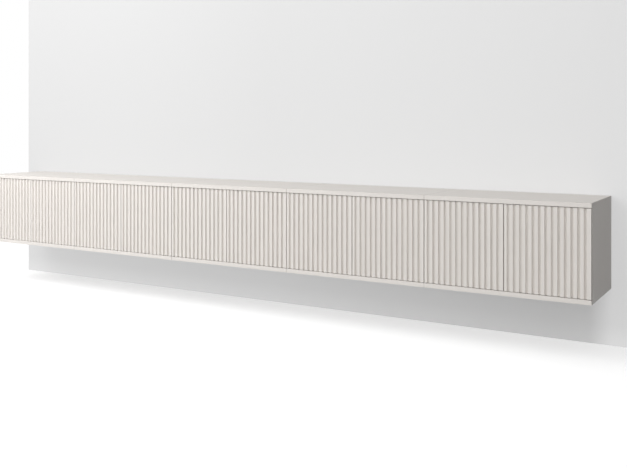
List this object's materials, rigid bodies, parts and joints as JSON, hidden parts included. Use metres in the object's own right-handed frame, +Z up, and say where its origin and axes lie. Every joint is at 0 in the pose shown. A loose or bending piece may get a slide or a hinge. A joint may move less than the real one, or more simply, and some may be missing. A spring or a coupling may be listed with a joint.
{
  "type": "floating media console",
  "caption": "Long wall-hung media console: cabinets in a row with handleless ribbed push-to-open doors between flush top and bottom boards, hung on wall rails.",
  "frame": {"origin": "on the wall plane, midway between the two screw holes of the middle cabinet's wall rail", "axes": "+X along the console to the right as seen from the room, +Y into the wall, +Z up"},
  "size_m": [2.9996, 0.33, 0.34],
  "materials": {
    "laminated_board": "matt laminate on chipboard",
    "ribbed_front": "matt foil on moulded fibreboard",
    "back_board": "painted thin fibreboard",
    "hinge_steel": "nickel plated",
    "plated_steel": "zinc plated",
    "latch_plastic": "moulded grey",
    "pin_plastic": "moulded white"
  },
  "bodies": {
    "carcass": {"cabinet_1_top_panel": "laminated_board", "cabinet_1_bottom_panel": "laminated_board", "cabinet_1_left_side": "laminated_board", "cabinet_1_right_side": "laminated_board", "cabinet_1_back_panel": "back_board", "cabinet_2_top_panel": "laminated_board", "cabinet_2_bottom_panel": "laminated_board", "cabinet_2_left_side": "laminated_board", "cabinet_2_right_side": "laminated_board", "cabinet_2_back_panel": "back_board", "cabinet_3_top_panel": "laminated_board", "cabinet_3_bottom_panel": "laminated_board", "cabinet_3_left_side": "laminated_board", "cabinet_3_right_side": "laminated_board", "cabinet_3_back_panel": "back_board", "cabinet_4_top_panel": "laminated_board", "cabinet_4_bottom_panel": "laminated_board", "cabinet_4_left_side": "laminated_board", "cabinet_4_right_side": "laminated_board", "cabinet_4_back_panel": "back_board", "cabinet_5_top_panel": "laminated_board", "cabinet_5_bottom_panel": "laminated_board", "cabinet_5_left_side": "laminated_board", "cabinet_5_right_side": "laminated_board", "cabinet_5_back_panel": "back_board", "hanger_brackets": "plated_steel", "wall_rails": "plated_steel", "board_hinge_leaves": "hinge_steel", "push_latch_bodies": "latch_plastic"},
    "door_1": {"door_1": "ribbed_front", "door_1_fittings": "hinge_steel"},
    "push_pin_1": {"push_pin_1": "pin_plastic"},
    "door_2": {"door_2": "ribbed_front", "door_2_fittings": "hinge_steel"},
    "push_pin_2": {"push_pin_2": "pin_plastic"},
    "door_3": {"door_3": "ribbed_front", "door_3_fittings": "hinge_steel"},
    "push_pin_3": {"push_pin_3": "pin_plastic"},
    "door_4": {"door_4": "ribbed_front", "door_4_fittings": "hinge_steel"},
    "push_pin_4": {"push_pin_4": "pin_plastic"},
    "door_5": {"door_5": "ribbed_front", "door_5_fittings": "hinge_steel"},
    "push_pin_5": {"push_pin_5": "pin_plastic"},
    "door_6": {"door_6": "ribbed_front", "door_6_fittings": "hinge_steel"},
    "push_pin_6": {"push_pin_6": "pin_plastic"},
    "door_7": {"door_7": "ribbed_front", "door_7_fittings": "hinge_steel"},
    "push_pin_7": {"push_pin_7": "pin_plastic"},
    "door_8": {"door_8": "ribbed_front", "door_8_fittings": "hinge_steel"},
    "push_pin_8": {"push_pin_8": "pin_plastic"},
    "door_9": {"door_9": "ribbed_front", "door_9_fittings": "hinge_steel"},
    "push_pin_9": {"push_pin_9": "pin_plastic"},
    "door_10": {"door_10": "ribbed_front", "door_10_fittings": "hinge_steel"},
    "push_pin_10": {"push_pin_10": "pin_plastic"}
  },
  "joints": [
    {"name": "door_1_swing", "type": "hinge", "parent": "carcass", "child": "door_1", "pos_m": [-1.493, -0.325, 0], "axis": [0, 0, -1], "range_deg": [0, 90]},
    {"name": "push_pin_1_slide", "type": "slide", "parent": "carcass", "child": "push_pin_1", "axis": [0, -1, 0], "range_m": [0, 0.016]},
    {"name": "door_2_swing", "type": "hinge", "parent": "carcass", "child": "door_2", "pos_m": [-0.907, -0.325, 0], "axis": [0, 0, 1], "range_deg": [0, 90]},
    {"name": "push_pin_2_slide", "type": "slide", "parent": "carcass", "child": "push_pin_2", "axis": [0, -1, 0], "range_m": [0, 0.016]},
    {"name": "door_3_swing", "type": "hinge", "parent": "carcass", "child": "door_3", "pos_m": [-0.893, -0.325, 0], "axis": [0, 0, -1], "range_deg": [0, 90]},
    {"name": "push_pin_3_slide", "type": "slide", "parent": "carcass", "child": "push_pin_3", "axis": [0, -1, 0], "range_m": [0, 0.016]},
    {"name": "door_4_swing", "type": "hinge", "parent": "carcass", "child": "door_4", "pos_m": [-0.307, -0.325, 0], "axis": [0, 0, 1], "range_deg": [0, 90]},
    {"name": "push_pin_4_slide", "type": "slide", "parent": "carcass", "child": "push_pin_4", "axis": [0, -1, 0], "range_m": [0, 0.016]},
    {"name": "door_5_swing", "type": "hinge", "parent": "carcass", "child": "door_5", "pos_m": [-0.293, -0.325, 0], "axis": [0, 0, -1], "range_deg": [0, 90]},
    {"name": "push_pin_5_slide", "type": "slide", "parent": "carcass", "child": "push_pin_5", "axis": [0, -1, 0], "range_m": [0, 0.016]},
    {"name": "door_6_swing", "type": "hinge", "parent": "carcass", "child": "door_6", "pos_m": [0.293, -0.325, 0], "axis": [0, 0, 1], "range_deg": [0, 90]},
    {"name": "push_pin_6_slide", "type": "slide", "parent": "carcass", "child": "push_pin_6", "axis": [0, -1, 0], "range_m": [0, 0.016]},
    {"name": "door_7_swing", "type": "hinge", "parent": "carcass", "child": "door_7", "pos_m": [0.307, -0.325, 0], "axis": [0, 0, -1], "range_deg": [0, 90]},
    {"name": "push_pin_7_slide", "type": "slide", "parent": "carcass", "child": "push_pin_7", "axis": [0, -1, 0], "range_m": [0, 0.016]},
    {"name": "door_8_swing", "type": "hinge", "parent": "carcass", "child": "door_8", "pos_m": [0.893, -0.325, 0], "axis": [0, 0, 1], "range_deg": [0, 90]},
    {"name": "push_pin_8_slide", "type": "slide", "parent": "carcass", "child": "push_pin_8", "axis": [0, -1, 0], "range_m": [0, 0.016]},
    {"name": "door_9_swing", "type": "hinge", "parent": "carcass", "child": "door_9", "pos_m": [0.907, -0.325, 0], "axis": [0, 0, -1], "range_deg": [0, 90]},
    {"name": "push_pin_9_slide", "type": "slide", "parent": "carcass", "child": "push_pin_9", "axis": [0, -1, 0], "range_m": [0, 0.016]},
    {"name": "door_10_swing", "type": "hinge", "parent": "carcass", "child": "door_10", "pos_m": [1.493, -0.325, 0], "axis": [0, 0, 1], "range_deg": [0, 90]},
    {"name": "push_pin_10_slide", "type": "slide", "parent": "carcass", "child": "push_pin_10", "axis": [0, -1, 0], "range_m": [0, 0.016]}
  ],
  "couplings": [
    {"joint": "push_pin_1_slide", "follows": "door_1_swing", "m_per_rad": 0.0101},
    {"joint": "push_pin_2_slide", "follows": "door_2_swing", "m_per_rad": 0.0101},
    {"joint": "push_pin_3_slide", "follows": "door_3_swing", "m_per_rad": 0.0101},
    {"joint": "push_pin_4_slide", "follows": "door_4_swing", "m_per_rad": 0.0101},
    {"joint": "push_pin_5_slide", "follows": "door_5_swing", "m_per_rad": 0.0101},
    {"joint": "push_pin_6_slide", "follows": "door_6_swing", "m_per_rad": 0.0101},
    {"joint": "push_pin_7_slide", "follows": "door_7_swing", "m_per_rad": 0.0101},
    {"joint": "push_pin_8_slide", "follows": "door_8_swing", "m_per_rad": 0.0101},
    {"joint": "push_pin_9_slide", "follows": "door_9_swing", "m_per_rad": 0.0101},
    {"joint": "push_pin_10_slide", "follows": "door_10_swing", "m_per_rad": 0.0101}
  ]
}
